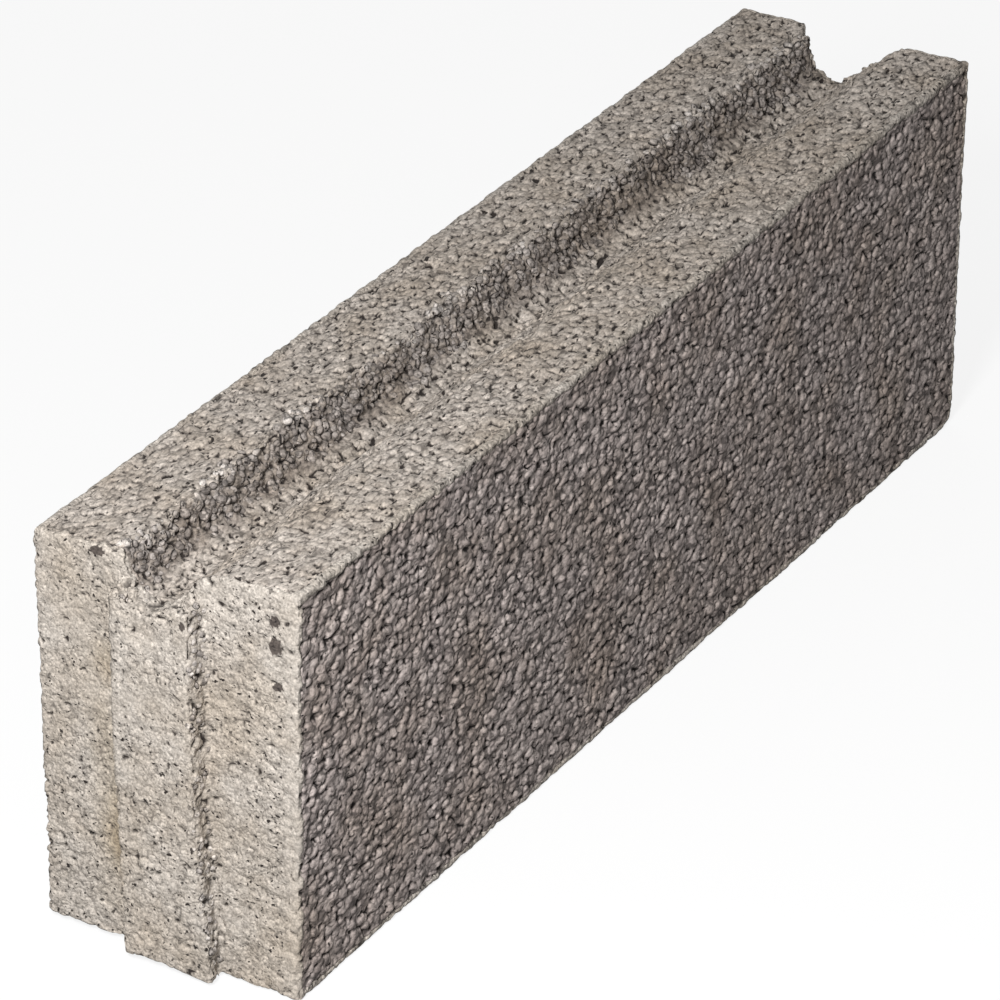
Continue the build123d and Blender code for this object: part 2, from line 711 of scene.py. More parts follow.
class Solid:
    """The part's own solid, merged, for the skin to start from and for the sheets to follow."""

    def __init__(self) -> None:
        """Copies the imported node's mesh, merges its loose triangles and reads its far end."""
        loose = bmesh.new()
        loose.from_mesh(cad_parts[NODE].data)
        bmesh.ops.remove_doubles(loose, verts=loose.verts, dist=1e-6)
        self.mesh = bpy.data.meshes.new("merged_solid")
        loose.to_mesh(self.mesh)
        self.tree = BVHTree.FromBMesh(loose)
        loose.free()
        self.low, self.high = (np.array(corner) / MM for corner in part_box(NODE))
        self.height = float(self.high[2])
        self.half_thickness = float(self.high[1])
        self.shoulder = -float(self.high[0])
        self.across = np.arange(-self.half_thickness + 1.0, self.half_thickness - 0.9, 0.5)
        starts = [(OUTSIDE_MM, y, 0.6 * self.height) for y in self.across]
        self.ends = self.hits(starts, (-1.0, 0.0, 0.0))[:, 0]

    def hits(self, starts: list[Triple], way: Triple) -> np.ndarray:
        """Finds where rays from the starts, in millimetres, first meet the solid."""
        found = [self.tree.ray_cast(Vector(s) * MM, Vector(way))[0] for s in starts]
        return np.array([place for place in found if place is not None]) / MM

    def far_end(self, y: np.ndarray) -> np.ndarray:
        """Gives how far the solid reaches in +X at each y, end groove and all."""
        return np.interp(y, self.across, self.ends)

    def path(self, side: Side, step_mm: float) -> tuple[np.ndarray, np.ndarray]:
        """Follows the section across one side at even steps.

        Args:
            side: The side to follow.
            step_mm: About how far apart the points are.

        Returns:
            Rows of y and z in millimetres, and the outward direction at each.
        """
        if side is Side.TOP:
            lines = np.arange(-self.half_thickness + 0.5, self.half_thickness - 0.4, 0.1)
            starts = [(0.0, y, OUTSIDE_MM) for y in lines]
            seen = self.hits(starts, (0.0, 0.0, -1.0))[:, 1:]
        else:
            way = 1.0 if side is Side.FRONT else -1.0
            lines = np.arange(0.5, self.height - 0.4, 0.1)
            starts = [(0.0, -way * OUTSIDE_MM, z) for z in lines[:: int(way)]]
            seen = self.hits(starts, (0.0, way, 0.0))[:, 1:]
        reach = np.concatenate([[0.0], np.cumsum(np.linalg.norm(np.diff(seen, axis=0), axis=1))])
        even = np.linspace(0.0, reach[-1], round(reach[-1] / step_mm) + 1)
        path = np.column_stack([np.interp(even, reach, seen[:, axis]) for axis in (0, 1)])
        ahead = np.gradient(path, axis=0)
        ahead /= np.linalg.norm(ahead, axis=1)[:, None]
        return path, np.column_stack([-ahead[:, 1], ahead[:, 0]])


@dataclass
class FaceRelief:
    """The relief over one face, the same for its sheet and for the skin along its borders."""

    solid: Solid
    side: Side
    step_mm: float
    shift: float
    lip: Band = Band((9.0, 13.0), (19.5, 25.0))
    lip_stray: Stray = Stray(3.5, 16.0, 42)
    wall: Band = Band((6.0, 12.0), (17.0, 20.5))
    wall_stray: Stray = Stray(2.0, 9.0, 43)
    long_slope: Band = Band((-28.0, -20.0), (3.0, 8.0))
    slope_gain: float = 0.5
    near_gain: Pair = (0.72, 0.28)
    near_mm: Pair = (-290.0, -110.0)

    def __post_init__(self) -> None:
        """Follows the section across the face."""
        self.path, self.outward = self.solid.path(self.side, self.step_mm)
        steps = np.linalg.norm(np.diff(self.path, axis=0), axis=1)
        self.run = np.concatenate([[0.0], np.cumsum(steps)])

    def across(self, y: np.ndarray, z: np.ndarray) -> np.ndarray:
        """Gives how far along the section each place lies, in millimetres.

        Args:
            y: Places across the block in millimetres.
            z: Their heights.

        Returns:
            One length for each place.
        """
        if self.side is Side.TOP:
            return np.interp(y, self.path[:, 0], self.run)
        order = 1 if self.side is Side.FRONT else -1
        return np.interp(z, self.path[::order, 1], self.run[::order])

    def at(
        self, x: np.ndarray, y: np.ndarray, z: np.ndarray
    ) -> tuple[np.ndarray, np.ndarray, np.ndarray]:
        """Works out the relief.

        Args:
            x: Places along the block in millimetres.
            y: Places across it.
            z: Their heights.

        Returns:
            Each place's relief in millimetres, its granule's tone, and its share in the groove's lip.
        """
        v = self.across(y, z) + self.shift
        if self.side is not Side.TOP:
            height, tone = MOULD_FACE.heights(x, v)
            return height, tone, np.zeros(x.shape)
        lip = self.lip.at(y + self.lip_stray.at(x, v))
        height, tone = PRESSED_BED.heights(x, v)
        least, more = self.near_gain
        height = height * (least + more * ramp(x, *self.near_mm) + self.slope_gain * self.slope(y))
        other, other_tone = GROOVE_LIP.heights(x, v)
        return height + lip * (other - height), np.where(lip > 0.5, other_tone, tone), lip

    def slope(self, y: np.ndarray) -> np.ndarray:
        """Tells how far each place belongs to the groove's long slope, from 0 to 1."""
        return self.long_slope.at(y) if self.side is Side.TOP else np.zeros(y.shape)

    def raw(self, x: np.ndarray, y: np.ndarray) -> np.ndarray:
        """Tells how far each place belongs to the steep wall, which no paste covers and where grey and
        painted shade darken the colour, from 0 to 1.

        Args:
            x: Places along the block in millimetres.
            y: Places across it.

        Returns:
            One share for each place.
        """
        if self.side is not Side.TOP:
            return np.zeros(x.shape)
        return self.wall.at(y + self.wall_stray.at(x, y))

    def pore_depth(self, lip: np.ndarray) -> np.ndarray:
        """Gives how deep the pores are at each place, in millimetres."""
        coat = PRESSED_BED if self.side is Side.TOP else MOULD_FACE
        return coat.pore_mm + lip * (GROOVE_LIP.pore_mm - coat.pore_mm)


@dataclass
class BlockSkin:
    """The closed skin: the solid remeshed evenly and worn, set back where a sheet covers it."""

    solid: Solid
    finish: ConcreteFinish
    reliefs: dict[Side, FaceRelief]
    name: str = "block_skin"
    voxel_mm: float = 1.1
    most_triangles: int = 190_000
    set_back_mm: float = 11.0
    border_mm: Pair = (3.5, 6.0)
    bed_mm: Pair = (160.0, 166.0)
    face_mm: float = 3.0
    hollow_half_mm: float = 40.0
    hollow_from_mm: float = 140.0
    hollow_weight: float = 0.5
    swell_mm: float = 0.35
    swell_size_mm: float = 30.0
    arris_wear_mm: float = 0.6
    arris_reach_mm: float = 5.0
    arris_crumbs: Patches = Patches(6.0, 3.1, 0.2, 1.1)
    end_gain: Pair = (0.9, 0.5)
    end_gain_mm: Pair = (30.0, 130.0)
    end_pores: PoreShade = PoreShade(0.54, 0.85, 0.85)
    flank_pores: PoreShade = PoreShade(0.6, 0.9, 0.9)
    border_pores: PoreShade = PoreShade(0.6, 0.7, 0.9)
    tongue_mm: float = 30.0
    bare_flank: Patches = Patches(16.0, 6.6, 0.8, 1.6)
    paste_end_mm: Pair = (-296.0, -290.0)
    paste_high_mm: Pair = (60.0, 150.0)
    paste_high_gain: float = 0.3
    paste: Patches = Patches(15.0, 5.2, -0.1, 1.3, 0.8)
    rim_mm: Pair = (5.0, 8.0)
    stain_end_mm: Pair = (-296.0, -285.0)
    stain_across: Band = Band((17.0, 22.0), (25.0, 42.0))
    stain_up: Band = Band((4.0, 30.0), (110.0, 180.0))
    stain: Patches = Patches(22.0, 8.4, 0.6, 0.9)
    spots: tuple[OutOfSquare | WornSpot, ...] = (
        OutOfSquare(),
        WornSpot((296.0, -60.0, -2.0), (14.0, 12.0, 12.0), (-1.2, 0.5, 2.0)),
        WornSpot((-300.0, -20.0, 176.0), (26.0, 14.0, 200.0), (0.0, 4.0, 0.0)),
        WornSpot((-305.0, -20.0, 0.0), (16.0, 12.0, 70.0), (0.0, -5.0, 0.0)),
        WornSpot((-305.0, 4.0, -2.0), (14.0, 40.0, 30.0), (0.0, 0.0, 2.6)),
        WornSpot((283.0, 21.0, 190.0), (40.0, 9.0, 12.0), (0.0, -2.0, 0.8)),
        WornSpot((-305.0, 20.0, 0.0), (14.0, 12.0, 110.0), (0.0, -3.0, 0.0)),
    )
    stones: tuple[DarkStone, ...] = (
        DarkStone((-295.0, 30.4, 187.2), (3.4, 2.2)),
        DarkStone((-295.0, -48.7, 176.0), (2.2, 2.8)),
        DarkStone((-295.0, -49.0, 164.7), (2.9, 4.0)),
        DarkStone((-295.0, -49.9, 146.1), (2.4, 1.8)),
        DarkStone((-305.0, -16.3, 168.6), (2.0, 2.0)),
    )

    def build(self) -> bpy.types.Object:
        """Makes the worn skin and returns its object.

        Returns:
            The object that replaces the solid.
        """
        fine = self._even_copy()
        places = rows_of(fine.vertices, "co") / MM
        normals = rows_of(fine.vertices, "normal")
        covered = self._covered(places, normals)
        moved, kept = self._worn(places, normals, covered)
        fine.vertices.foreach_set("co", (moved * MM).astype(np.float32).ravel())
        fine.update()
        kept["stain"] = self._stained(places)
        kept["paste"] = self._pasted(places)
        kept[Zone.FLANK.value] = self._flank(places, normals) * self.bare_flank.at(places)
        kept["stone"] = np.max([stone.share(places) for stone in self.stones], axis=0)
        under = ramp(-normals[:, 2], 0.9, 0.99)
        skin = self._thinned(fine, np.maximum(covered, under))
        nearest = self._nearest(moved, rows_of(skin.vertices, "co") / MM)
        keep(skin, {name: values[nearest] for name, values in kept.items()})
        skin.polygons.foreach_set("use_smooth", np.ones(len(skin.polygons), bool))
        skin.update()
        skin.materials.clear()
        skin.materials.append(self.finish.material())
        return show(self.name, skin)

    def _nearest(self, places: np.ndarray, wanted: np.ndarray) -> np.ndarray:
        """Gives, for each wanted point, the number of the nearest place.

        Args:
            places: The points to choose from.
            wanted: The points to find a place for.

        Returns:
            One number for each wanted point.
        """
        tree = kdtree.KDTree(len(places))
        for number, place in enumerate(places):
            tree.insert(place, number)
        tree.balance()
        return np.array([tree.find(place)[1] for place in wanted])

    def _even_copy(self) -> bpy.types.Mesh:
        """Remeshes the solid evenly.

        Returns:
            A mesh of quads, all of about one size.
        """
        carrier = show("merged_solid", self.solid.mesh)
        remesh = carrier.modifiers.new("even", "REMESH")
        remesh.mode = "VOXEL"
        remesh.voxel_size = self.voxel_mm * MM
        even = plain_mesh(carrier)
        bpy.data.objects.remove(carrier)
        return even

    def _thinned(self, fine: bpy.types.Mesh, covered: np.ndarray) -> bpy.types.Mesh:
        """Thins the mesh where sheets or the floor cover it, less so in the mortar groove.

        Args:
            fine: The worn skin at its full fineness.
            covered: For each point, from 0 where it shows to 1 where it is covered.

        Returns:
            The skin with about the most triangles allowed.
        """
        carrier = show("fine_skin", fine)
        group = carrier.vertex_groups.new(name="covered")
        places = rows_of(fine.vertices, "co") / MM
        hollow = (np.abs(places[:, 1]) < self.hollow_half_mm) & (places[:, 2] > self.hollow_from_mm)
        for weight, chosen in ((1.0, ~hollow), (self.hollow_weight, hollow)):
            numbers = np.flatnonzero((covered > 0.99) & chosen)
            group.add([int(number) for number in numbers], weight, "REPLACE")
        thin = carrier.modifiers.new("thin", "DECIMATE")
        thin.ratio = self.most_triangles / (2 * len(fine.polygons))
        thin.vertex_group = group.name
        thin.use_collapse_triangulate = True
        thinned = plain_mesh(carrier)
        thinned.name = self.name
        bpy.data.objects.remove(carrier)
        return thinned

    def _covered(self, places: np.ndarray, normals: np.ndarray) -> np.ndarray:
        """Tells how far each point lies under a sheet, from 0 to 1.

        Args:
            places: Points of the clean solid in millimetres.
            normals: The surface's direction at each point.

        Returns:
            One share for each point.
        """
        x, y, z = places.T
        solid = self.solid
        aside = solid.half_thickness - np.abs(y)
        ends = np.minimum(x - solid.shoulder, solid.far_end(y) - x)
        up = ramp(normals[:, 2], 0.25, 0.5) * ramp(z, *self.bed_mm)
        top = up * ramp(np.minimum(ends, aside), *self.border_mm)
        out = ramp(np.abs(normals[:, 1]), 0.5, 0.8) * (aside < self.face_mm)
        below = np.minimum(z, solid.height - z)
        length = solid.high[0] - np.abs(x)
        return np.maximum(top, out * ramp(np.minimum(length, below), *self.border_mm))

    def _worn(
        self, places: np.ndarray, normals: np.ndarray, covered: np.ndarray
    ) -> tuple[np.ndarray, dict[str, np.ndarray]]:
        """Moves each point to where the worn skin lies.

        Args:
            places: Points of the clean solid in millimetres.
            normals: The surface's direction at each point.
            covered: How far each point lies under a sheet.

        Returns:
            The worn points in millimetres, none below the floor, and what the finish reads at each.
        """
        walls = np.sort(np.minimum(places - self.solid.low, self.solid.high - places), axis=1)
        arris = 1.0 - ramp(walls[:, 1], 0.0, self.arris_reach_mm)
        facing = np.argmax(np.abs(normals), axis=1)
        u = np.where(facing == 0, places[:, 1], places[:, 0])
        v = np.where(facing == 2, places[:, 1], places[:, 2])
        height, tone = MOULD_END.heights(u, v)
        # Painted shade: the pores of the relief are darkened by how deep they lie
        cavity = self.end_pores.at(height, MOULD_END.pore_mm)
        least, more = self.end_gain
        height *= least + more * (1.0 - ramp(places[:, 2], *self.end_gain_mm))
        mouth = np.zeros(len(places))

        # The crumbled flank of the tongue
        flank = self._flank(places, normals)
        shown = np.flatnonzero(flank > 0.01)
        part = flank[shown]
        crumbs, crumb_tone = CRUMBLED.heights(u[shown], v[shown])
        # Painted shade for the flank's pores
        depth = self.flank_pores.at(crumbs, CRUMBLED.pore_mm)
        height[shown] += part * (crumbs - height[shown])
        tone[shown] = np.where(part > 0.5, crumb_tone, tone[shown])
        cavity[shown] += part * (depth - cavity[shown])

        # The borders of the faces that have a sheet
        for side, share in self._sides(places, normals).items():
            relief = self.reliefs[side]
            shown = np.flatnonzero(share > 0.01)
            part = share[shown]
            x, y, z = places[shown].T
            other, other_tone, lip = relief.at(x, y, z)
            # Painted shade for the pores along the border
            depth = self.border_pores.at(other, relief.pore_depth(lip))
            height[shown] += part * (other - height[shown])
            tone[shown] = np.where(part > 0.5, other_tone, tone[shown])
            cavity[shown] += part * (depth - cavity[shown])
            mouth[shown] += part * (lip + relief.slope(y)) * (1.0 - covered[shown])
        out = (
            self.swell_mm * noise_at(places, self.swell_size_mm, 1.7)
            - self.arris_wear_mm * arris * self.arris_crumbs.at(places)
            + (1.0 - covered) * height * tamed(walls[:, 1])
            - self.set_back_mm * covered
        )
        moved = places + out[:, None] * normals
        for spot in self.spots:
            moved += spot.moves(places)
        moved[:, 2] = np.maximum(moved[:, 2], 0.0)
        kept = {"tone": tone, "cavity": cavity, Zone.MOUTH.value: np.clip(mouth, 0.0, 1.0)}
        return moved, kept

    def _sides(self, places: np.ndarray, normals: np.ndarray) -> dict[Side, np.ndarray]:
        """Tells how far each point belongs to a face that has a sheet, from 0 to 1."""
        outer = np.abs(places[:, 1]) > self.solid.half_thickness - self.face_mm
        return {
            Side.FRONT: ramp(-normals[:, 1], 0.6, 0.85) * outer,
            Side.BACK: ramp(normals[:, 1], 0.6, 0.85) * outer,
            Side.TOP: ramp(normals[:, 2], 0.1, 0.3) * ramp(places[:, 2], *self.bed_mm),
        }

    def _flank(self, places: np.ndarray, normals: np.ndarray) -> np.ndarray:
        """Tells how far each point belongs to the tongue's crumbled flank, from 0 to 1.

        Args:
            places: Points of the clean solid in millimetres.
            normals: The surface's direction at each point.

        Returns:
            One share for each point.
        """
        out = 1.0 - ramp(places[:, 0], self.solid.shoulder - 1.0, self.solid.shoulder + 1.0)
        near = np.abs(places[:, 1]) < self.tongue_mm
        return ramp(-normals[:, 1], 0.3, 0.7) * out * near

    def _pasted(self, places: np.ndarray) -> np.ndarray:
        """Gives the paste that fills the pores in patches and along the near arris, from 0 to 1.

        Args:
            places: Points of the clean solid in millimetres.

        Returns:
            One share for each point.
        """
        near = 1.0 - ramp(places[:, 0], *self.paste_end_mm)
        patchy = self.paste.at(places, self.paste_high_gain * ramp(places[:, 2], *self.paste_high_mm))
        inwards = places[:, 1] + self.solid.half_thickness
        return np.maximum(near * patchy, near * (1.0 - ramp(inwards, *self.rim_mm)))

    def _stained(self, places: np.ndarray) -> np.ndarray:
        """Gives the tan stain on the shoulder beside the tongue, from 0 to 1.

        Args:
            places: Points of the clean solid in millimetres.

        Returns:
            One share for each point.
        """
        near = 1.0 - ramp(places[:, 0], *self.stain_end_mm)
        tall = self.stain_up.at(places[:, 2])
        return near * self.stain_across.at(places[:, 1]) * tall * self.stain.at(places)


@dataclass
class FaceSheet:
    """A closed sheet over one face: it follows the solid's section and carries its relief."""

    solid: Solid
    relief: FaceRelief
    finish: ConcreteFinish
    spots: tuple[OutOfSquare | WornSpot, ...]
    name: str
    part: Pair = (0.0, 1.0)
    depth_mm: float = 5.4
    trim_mm: float = 1.7
    border_mm: Pair = (0.4, 1.9)
    border_drop_mm: float = 3.0
    swell: Stray = Stray(0.35, 30.0, 41)
    blur_mm: float = 2.8
    pore_shares: Pair = (0.05, 0.62)
    clear_mm: float = 2.5

    def build(self) -> bpy.types.Object:
        """Makes the sheet, its relief cut from that of the whole face, and returns its object.

        Returns:
            The sheet's object.
        """
        relief = self.relief
        trim = round(self.trim_mm / relief.step_mm)
        path = relief.path[trim:-trim]
        run = relief.run[trim:-trim, None]
        start = np.full((len(path), 1), self.solid.shoulder + self.trim_mm)
        end = -start
        if relief.side is Side.TOP:
            end = self.solid.far_end(path[:, :1]) - self.trim_mm
        columns = round((self.solid.high[0] - self.solid.shoulder) / relief.step_mm)
        x = start + (end - start) * np.linspace(0.0, 1.0, columns + 1)
        y = np.broadcast_to(path[:, :1], x.shape)
        z = np.broadcast_to(path[:, 1:], x.shape)
        height, tone, lip = relief.at(x, y, z)
        # Painted shade: what lies below its blurred surroundings is darkened as a shaded crevice
        below = blurred(height, round(self.blur_mm / relief.step_mm)) - height
        cavity = ramp(below / relief.pore_depth(lip), *self.pore_shares)
        first, last = (round(share * columns) for share in self.part)
        x, y, z, height, tone, lip, cavity = (
            grid[:, first : last + 1] for grid in (x, y, z, height, tone, lip, cavity)
        )
        inset = np.minimum(np.minimum(x - start, end - x), np.minimum(run - run[0], run[-1] - run))
        height = height * tamed(inset + self.trim_mm)
        height = height + self.swell.at(x, run + relief.shift)
        height = height - self.border_drop_mm * (1.0 - ramp(inset, *self.border_mm))
        flat = np.stack([x, y, z], axis=2)
        way = np.zeros(flat.shape)
        way[:, :, 1:] = relief.outward[trim:-trim, None, :]
        mesh = self._mesh(flat + height[:, :, None] * way, flat - self.depth_mm * way, flat)
        clear = inset > self.clear_mm
        kept = {
            "tone": tone,
            "cavity": cavity,
            "raw": relief.raw(x, y),
            Zone.LIP.value: lip * clear,
            Zone.SLOPE.value: relief.slope(y) * clear,
        }
        rim = len(mesh.vertices) - height.size
        keep(mesh, {name: np.pad(values.ravel(), (0, rim)) for name, values in kept.items()})
        shown = (height.shape[0] - 1) * (height.shape[1] - 1)
        mesh.polygons.foreach_set("use_smooth", np.arange(len(mesh.polygons)) < shown)
        mesh.materials.append(self.finish.material())
        return show(mesh.name, mesh)

    def _mesh(self, outer: np.ndarray, inner: np.ndarray, flat: np.ndarray) -> bpy.types.Mesh:
        """Joins the outer grid and a plain back into one closed mesh.

        Args:
            outer: The points that show, by row and column, in millimetres.
            inner: The same points at the back of the sheet. Only its rim is used.
            flat: The clean points, by which the worn spots are found.

        Returns:
            The closed mesh, its rim's points after the grid's.
        """
        rows, columns = outer.shape[:2]
        numbers = np.arange(rows * columns).reshape(rows, columns)
        rim = np.concatenate([numbers[0, :-1], numbers[:-1, -1], numbers[-1, :0:-1], numbers[:0:-1, 0]])
        places = np.concatenate([outer.reshape(-1, 3), inner.reshape(-1, 3)[rim]])
        clean = np.concatenate([flat.reshape(-1, 3), flat.reshape(-1, 3)[rim]])
        for spot in self.spots:
            places = places + spot.moves(clean)
        places[:, 2] = np.maximum(places[:, 2], 0.0)
        corners = [numbers[:-1, :-1], numbers[:-1, 1:], numbers[1:, 1:], numbers[1:, :-1]]
        faces = np.stack(corners, axis=2).reshape(-1, 4).tolist()
        loop = rim.tolist()
        back = {number: rows * columns + step for step, number in enumerate(loop)}
        for here, after in zip(loop, loop[1:] + loop[:1]):
            faces.append([after, here, back[here], back[after]])
        left, right, first, last = (
            [back[number] for number in line.tolist()]
            for line in (numbers[:, 0], numbers[:, -1], numbers[0], numbers[-1])
        )
        faces.append([left[1], right[1]] + first[::-1])
        for row in range(1, rows - 2):
            faces.append([left[row], left[row + 1], right[row + 1], right[row]])
        faces.append([right[-2], left[-2]] + last)
        mesh = bpy.data.meshes.new(self.name)
        mesh.from_pydata((places * MM).tolist(), [], faces)
        mesh.update()
        return mesh


@dataclass(frozen=True)
class Pebble:
    """The shape of one granule, of radius 1: a crown, three rings and a closed foot."""

    name: str = "granule_shape"
    sides: int = 6
    rings: tuple[Pair, ...] = ((0.6, 0.92), (0.92, 0.55), (1.0, 0.0))
    foot: float = -0.35
    shaded_to: float = 0.7

    def build(self) -> bpy.types.Object:
        """Makes the granule that the tree repeats, with painted shade kept for it, darkest at its foot.

        Returns:
            The granule's object.
        """
        shape = bmesh.new()
        crown = shape.verts.new((0.0, 0.0, 1.0))
        rows = []
        for number, (radius, height) in enumerate(self.rings):
            turns = [math.tau * (step + 0.5 * (number % 2)) / self.sides for step in range(self.sides)]
            ring = [(radius * math.cos(turn), radius * math.sin(turn), height) for turn in turns]
            rows.append([shape.verts.new(place) for place in ring])
        base = shape.verts.new((0.0, 0.0, self.foot))
        for step in range(self.sides):
            after = (step + 1) % self.sides
            shape.faces.new((crown, rows[0][step], rows[0][after]))
            for number, (upper, lower) in enumerate(zip(rows, rows[1:])):
                if number % 2:
                    shape.faces.new((upper[step], lower[after], upper[after]))
                    shape.faces.new((upper[step], lower[step], lower[after]))
                else:
                    shape.faces.new((upper[step], lower[step], upper[after]))
                    shape.faces.new((upper[after], lower[step], lower[after]))
            shape.faces.new((base, rows[-1][after], rows[-1][step]))
        bmesh.ops.recalc_face_normals(shape, faces=shape.faces)
        mesh = bpy.data.meshes.new(self.name)
        shape.to_mesh(mesh)
        shape.free()
        # Painted shade: the granule darkens towards its foot, where it meets the surface
        keep(mesh, {"cavity": 1.0 - ramp(rows_of(mesh.vertices, "co")[:, 2], 0.0, self.shaded_to)})
        return show(self.name, mesh)


class StrewnGranules:
    """A Geometry Nodes tree that strews granules over one zone of a surface, as one mesh."""

    NAME = "strewn_granules"
    INPUTS = {
        "Skin": "NodeSocketGeometry",
        "Granule": "NodeSocketObject",
        "Zone": "NodeSocketString",
        "Spacing": "NodeSocketFloat",
        "Least Radius": "NodeSocketFloat",
        "Most Radius": "NodeSocketFloat",
        "Least Rise": "NodeSocketFloat",
        "Most Rise": "NodeSocketFloat",
        "Least Sink": "NodeSocketFloat",
        "Most Sink": "NodeSocketFloat",
        "Tilt": "NodeSocketFloat",
        "Lump Size": "NodeSocketFloat",
        "Lump Height": "NodeSocketFloat",
        "Seed": "NodeSocketInt",
        "Finish": "NodeSocketMaterial",
    }
    CROWDING = 3.2
    UNEVEN = 0.18

    def __init__(self) -> None:
        """Makes the tree with its sockets and lays its nodes."""
        self.tree = bpy.data.node_groups.new(self.NAME, "GeometryNodeTree")
        sockets = self.tree.interface
        self.identifiers = {
            name: sockets.new_socket(name, in_out="INPUT", socket_type=kind).identifier
            for name, kind in self.INPUTS.items()
        }
        sockets.new_socket("Granules", in_out="OUTPUT", socket_type="NodeSocketGeometry")
        self._lay()

    def _lay(self) -> None:
        """Lays points on the zone, a granule on each, all realized, lumpy and dressed."""
        add = partial(add_node, self.tree)
        given = add("NodeGroupInput").outputs
        seed = given["Seed"]

        # Points on the zone, sunk by a random depth
        zone = add("GeometryNodeInputNamedAttribute", {"Name": given["Zone"]}, data_type="FLOAT")
        spacing = given["Spacing"]
        cell = add("ShaderNodeMath", {0: spacing, 1: spacing}, operation="MULTIPLY")
        crowd = add("ShaderNodeMath", {0: self.CROWDING, 1: cell.outputs[0]}, operation="DIVIDE")
        spread = add(
            "GeometryNodeDistributePointsOnFaces",
            {
                "Mesh": given["Skin"],
                "Distance Min": spacing,
                "Density Max": crowd.outputs[0],
                "Density Factor": zone.outputs["Attribute"],
                "Seed": seed,
            },
            distribute_method="POISSON",
        ).outputs
        depth, radius, swell, shade = (
            add("FunctionNodeRandomValue", {2: low, 3: high, "Seed": draw}, data_type="FLOAT").outputs[1]
            for low, high, draw in (
                (given["Least Sink"], given["Most Sink"], seed),
                (given["Least Radius"], given["Most Radius"], 11),
                (given["Least Rise"], given["Most Rise"], 12),
                (0.0, 1.0, 14),
            )
        )
        inwards = add("ShaderNodeMath", {0: depth, 1: -1.0}, operation="MULTIPLY").outputs[0]
        push = add("ShaderNodeVectorMath", {0: spread["Normal"], "Scale": inwards}, operation="SCALE")
        sunk = add("GeometryNodeSetPosition", {"Geometry": spread["Points"], "Offset": push.outputs[0]})

        # Each granule's turn and its lopsided size
        tilt = given["Tilt"]
        back = add("ShaderNodeMath", {0: tilt, 1: -1.0}, operation="MULTIPLY").outputs[0]
        least_turn = add("ShaderNodeCombineXYZ", {0: back, 1: back, 2: 0.0}).outputs[0]
        most_turn = add("ShaderNodeCombineXYZ", {0: tilt, 1: tilt, 2: math.tau}).outputs[0]
        smallest = (1.0 - self.UNEVEN,) * 3
        largest = (1.0 + self.UNEVEN,) * 3
        turn, uneven = (
            add("FunctionNodeRandomValue", {0: low, 1: high, "Seed": draw}, data_type="FLOAT_VECTOR")
            for low, high, draw in ((least_turn, most_turn, seed), (smallest, largest, 13))
        )
        spin = add("FunctionNodeEulerToRotation", {0: turn.outputs[0]}).outputs[0]
        facing = {0: spread["Rotation"], 1: spin}
        turned = add("FunctionNodeRotateRotation", facing, rotation_space="LOCAL").outputs[0]
        dome = add("ShaderNodeCombineXYZ", {0: 1.0, 1: 1.0, 2: swell}).outputs[0]
        shaped = {0: dome, 1: uneven.outputs[0]}
        lopsided = add("ShaderNodeVectorMath", shaped, operation="MULTIPLY").outputs[0]
        size = add("ShaderNodeVectorMath", {0: lopsided, "Scale": radius}, operation="SCALE").outputs[0]

        # A granule on each point, with a tone of its own
        granule = add("GeometryNodeObjectInfo", {"Object": given["Granule"]}).outputs["Geometry"]
        laid = {"Points": sunk.outputs[0], "Instance": granule, "Rotation": turned, "Scale": size}
        strewn = add("GeometryNodeInstanceOnPoints", laid).outputs[0]
        toned = add(
            "GeometryNodeStoreNamedAttribute",
            {"Geometry": strewn, "Name": "tone", "Value": shade},
            data_type="FLOAT",
            domain="INSTANCE",
        )
        joined = add("GeometryNodeRealizeInstances", {"Geometry": toned.outputs[0]}).outputs[0]

        # Lumps, nothing below the floor, and the finish
        fine = add("ShaderNodeMath", {0: 1.0, 1: given["Lump Size"]}, operation="DIVIDE").outputs[0]
        lumps = add("ShaderNodeTexNoise", {"Scale": fine, "Detail": 1.0}).outputs["Color"]
        centred = {0: lumps, 1: (0.5, 0.5, 0.5)}
        even = add("ShaderNodeVectorMath", centred, operation="SUBTRACT").outputs[0]
        dent = add("ShaderNodeVectorMath", {0: even, "Scale": given["Lump Height"]}, operation="SCALE")
        dented = {"Geometry": joined, "Offset": dent.outputs[0]}
        lumpy = add("GeometryNodeSetPosition", dented).outputs[0]
        place = add("GeometryNodeInputPosition").outputs[0]
        above = add("ShaderNodeVectorMath", {0: place, 1: (-10.0, -10.0, 0.0)}, operation="MAXIMUM")
        stood = add("GeometryNodeSetPosition", {"Geometry": lumpy, "Position": above.outputs[0]})
        smooth = add("GeometryNodeSetShadeSmooth", {"Geometry": stood.outputs[0]}).outputs[0]
        plain = add("GeometryNodeRealizeInstances", {"Geometry": smooth}).outputs[0]
        dressed = add("GeometryNodeSetMaterial", {"Geometry": plain, "Material": given["Finish"]})
        add("NodeGroupOutput", {"Granules": dressed.outputs[0]})

    def run(self, skin: bpy.types.Mesh, values: dict[str, object]) -> bpy.types.Mesh:
        """Runs the tree once and gives what it makes.

        Args:
            skin: The mesh that the tree starts from.
            values: The other inputs by name.

        Returns:
            A plain mesh.
        """
        carrier = show("carrier", skin)
        modifier = carrier.modifiers.new(self.NAME, "NODES")
        modifier.node_group = self.tree
        for name, value in values.items():
            modifier[self.identifiers[name]] = value
        mesh = plain_mesh(carrier)
        bpy.data.objects.remove(carrier)
        return mesh


